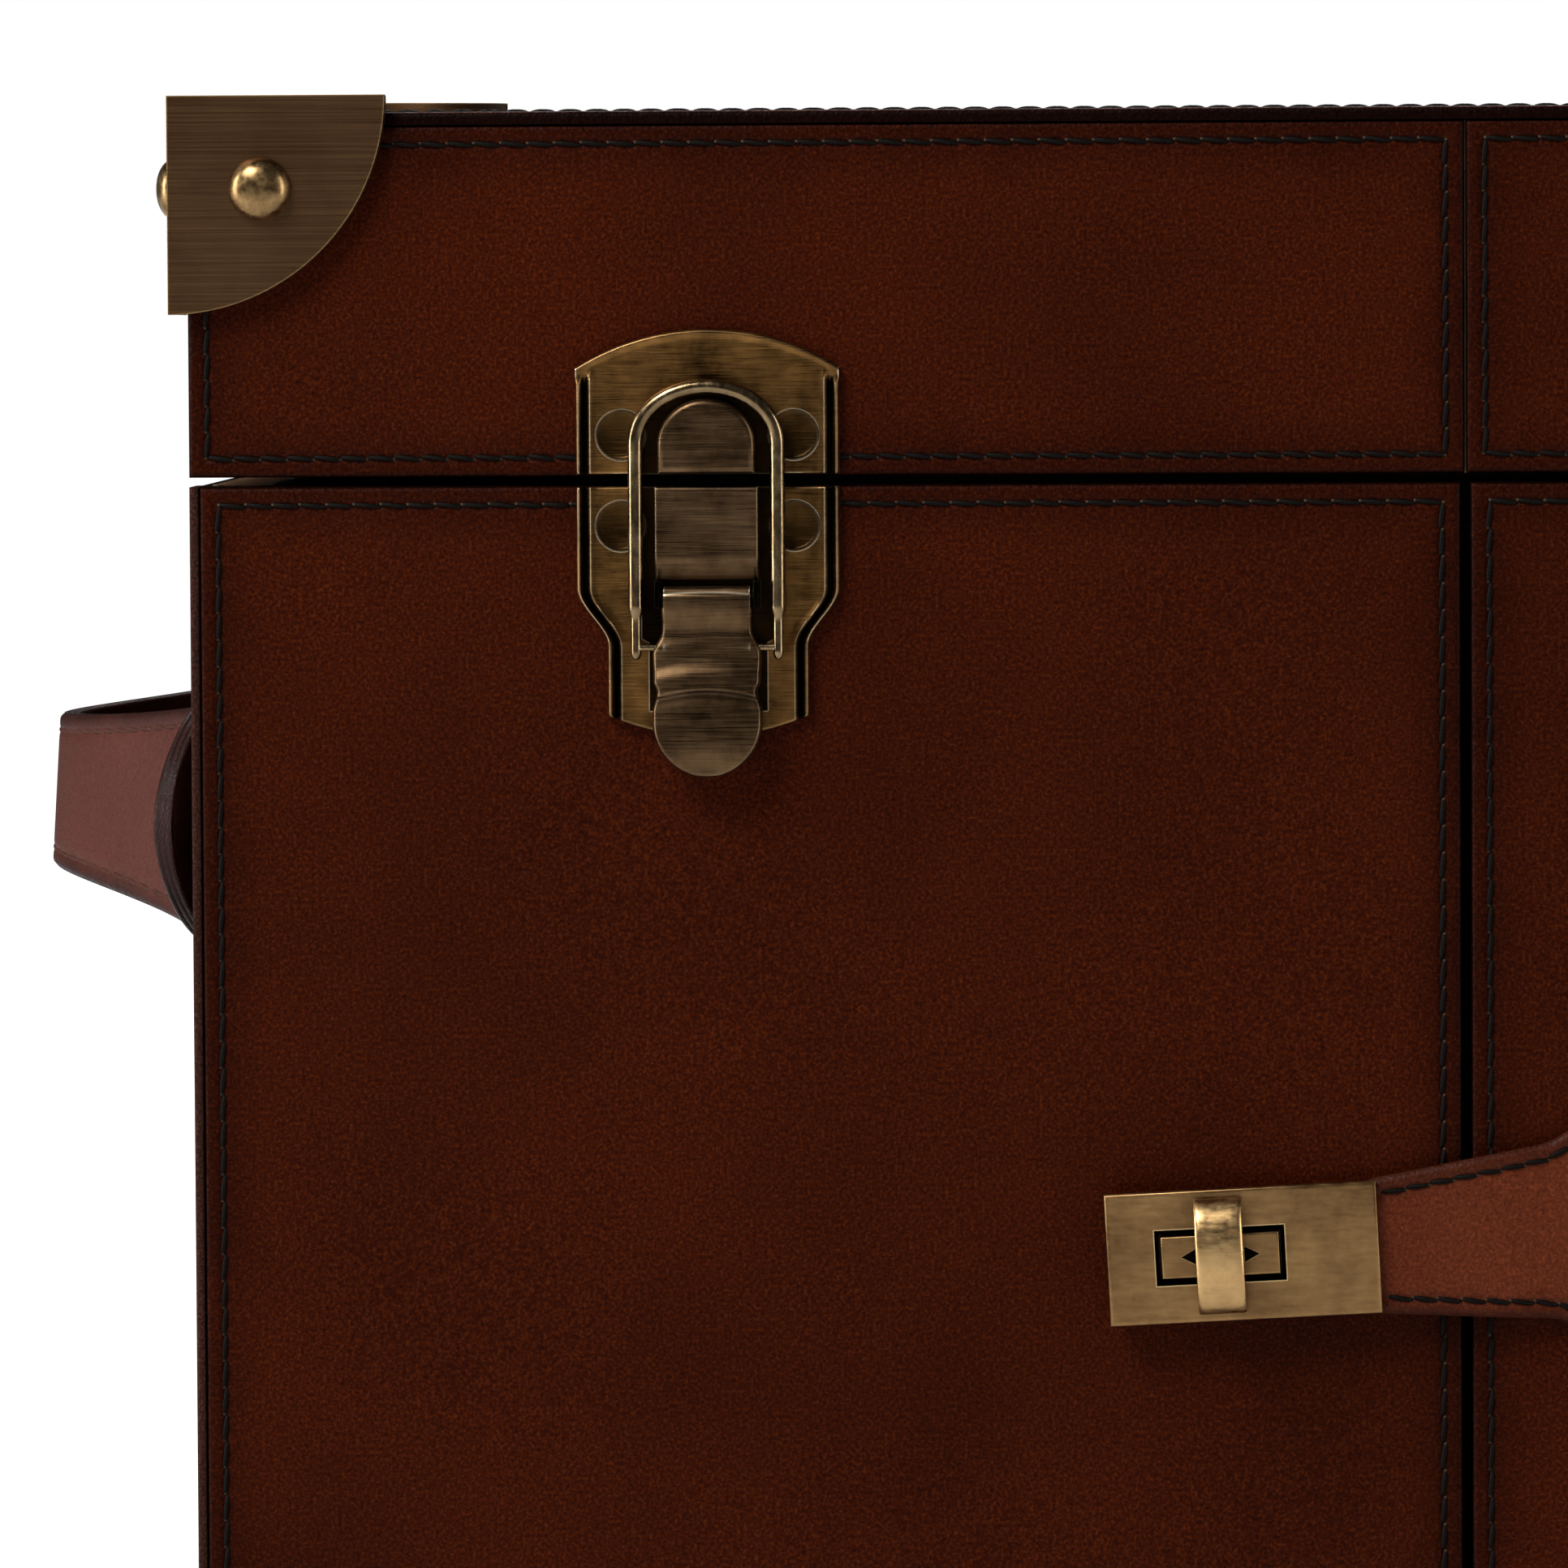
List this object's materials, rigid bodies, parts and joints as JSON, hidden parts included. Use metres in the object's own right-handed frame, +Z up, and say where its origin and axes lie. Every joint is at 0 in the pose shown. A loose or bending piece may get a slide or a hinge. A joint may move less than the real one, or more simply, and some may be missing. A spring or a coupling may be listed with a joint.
{
  "type": "flight bag",
  "caption": "Leather-covered hard flight case with a rear-hinged lid, paired front doors, draw latches, a turnlock strap, side handles and brass corners.",
  "frame": {"origin": "on the ground, under the middle of the case's bounding box", "axes": "+X to the right seen from the front, +Y to the back, +Z up; the doors face -Y"},
  "size_m": [0.4112, 0.204, 0.2791],
  "materials": {
    "case_leather": "pebbled chestnut hide, waxed",
    "strap_leather": "smooth vegetable-tanned hide, burnished edges",
    "handle_leather": "smooth hide, burnished edges",
    "board": "raw plywood",
    "lining": "brushed cotton",
    "bracket_brass": "dark antiqued, brushed",
    "latch_brass": "antiqued, rubbed bright on its edges",
    "turnlock_brass": "aged, lightly scratched",
    "hinge_brass": "dark antiqued"
  },
  "bodies": {
    "case": {"case_side_leather_left": "case_leather", "case_side_board_left": "board", "case_side_leather_right": "case_leather", "case_side_board_right": "board", "case_back_leather": "case_leather", "case_back_board": "board", "case_base_leather": "case_leather", "case_base_board": "board", "case_lining": "lining", "base_corner_front_left": "bracket_brass", "base_corner_back_left": "bracket_brass", "door_hinge_case_leaf_left": "hinge_brass", "door_hinge_pin_left": "hinge_brass", "handle_left": "handle_leather", "base_corner_front_right": "bracket_brass", "base_corner_back_right": "bracket_brass", "door_hinge_case_leaf_right": "hinge_brass", "door_hinge_pin_right": "hinge_brass", "handle_right": "handle_leather", "lid_hinge_case_leaf": "hinge_brass", "lid_hinge_pin": "hinge_brass"},
    "lid": {"lid_top_leather": "case_leather", "lid_front_leather_left": "case_leather", "lid_side_leather_left": "case_leather", "lid_corner_front_left": "bracket_brass", "lid_corner_back_left": "bracket_brass", "latch_keeper_left": "latch_brass", "lid_front_leather_right": "case_leather", "lid_side_leather_right": "case_leather", "lid_corner_front_right": "bracket_brass", "lid_corner_back_right": "bracket_brass", "latch_keeper_right": "latch_brass", "lid_back_leather": "case_leather", "lid_top_board": "board", "lid_rim": "board", "lid_lining": "lining", "lid_hinge_lid_leaf": "hinge_brass"},
    "left_door": {"door_leather_left": "case_leather", "door_board_left": "board", "door_lining_left": "lining", "door_hinge_door_leaf_left": "hinge_brass", "latch_base_left": "latch_brass", "turnlock_base": "turnlock_brass"},
    "right_door": {"door_leather_right": "case_leather", "door_board_right": "board", "door_lining_right": "lining", "door_hinge_door_leaf_right": "hinge_brass", "latch_base_right": "latch_brass", "strap_pad": "strap_leather"},
    "left_lever": {"latch_lever_left": "latch_brass"},
    "left_bail": {"latch_bail_left": "latch_brass"},
    "right_lever": {"latch_lever_right": "latch_brass"},
    "right_bail": {"latch_bail_right": "latch_brass"},
    "turn_knob": {"turn_knob": "turnlock_brass"},
    "strap": {"closure_strap": "strap_leather", "strap_plate": "turnlock_brass"}
  },
  "joints": [
    {"name": "lid_hinge", "type": "hinge", "parent": "case", "child": "lid", "pos_m": [0, 0.09665, 0.22605], "axis": [-1, 0, 0], "range_deg": [0, 95]},
    {"name": "left_door_hinge", "type": "hinge", "parent": "case", "child": "left_door", "pos_m": [-0.1742, -0.0819, 0.1159], "axis": [0, 0, -1], "range_deg": [0, 110]},
    {"name": "right_door_hinge", "type": "hinge", "parent": "case", "child": "right_door", "pos_m": [0.1742, -0.0819, 0.1159], "axis": [0, 0, 1], "range_deg": [0, 110]},
    {"name": "left_lever_hinge", "type": "hinge", "parent": "left_door", "child": "left_lever", "pos_m": [-0.1035, -0.09615, 0.21065], "axis": [-1, 0, 0], "range_deg": [0, 150]},
    {"name": "left_bail_pivot", "type": "hinge", "parent": "left_lever", "child": "left_bail", "pos_m": [-0.1035, -0.09615, 0.20315], "axis": [1, 0, 0], "range_deg": [0, 175]},
    {"name": "right_lever_hinge", "type": "hinge", "parent": "right_door", "child": "right_lever", "pos_m": [0.1035, -0.09615, 0.21065], "axis": [-1, 0, 0], "range_deg": [0, 150]},
    {"name": "right_bail_pivot", "type": "hinge", "parent": "right_lever", "child": "right_bail", "pos_m": [0.1035, -0.09615, 0.20315], "axis": [1, 0, 0], "range_deg": [0, 175]},
    {"name": "turn_knob_spin", "type": "hinge", "parent": "left_door", "child": "turn_knob", "pos_m": [-0.03365, -0.09755, 0.12005], "axis": [0, 1, 0], "range_deg": [0, 90]},
    {"name": "strap_fold", "type": "hinge", "parent": "right_door", "child": "strap", "pos_m": [0.00794, -0.09605, 0.12223], "axis": [-0.0523, 0, 0.9986], "range_deg": [0, 150]}
  ],
  "couplings": [
    {"joint": "left_bail_pivot", "follows": "left_lever_hinge", "ratio": 1.15},
    {"joint": "right_bail_pivot", "follows": "right_lever_hinge", "ratio": 1.15}
  ]
}
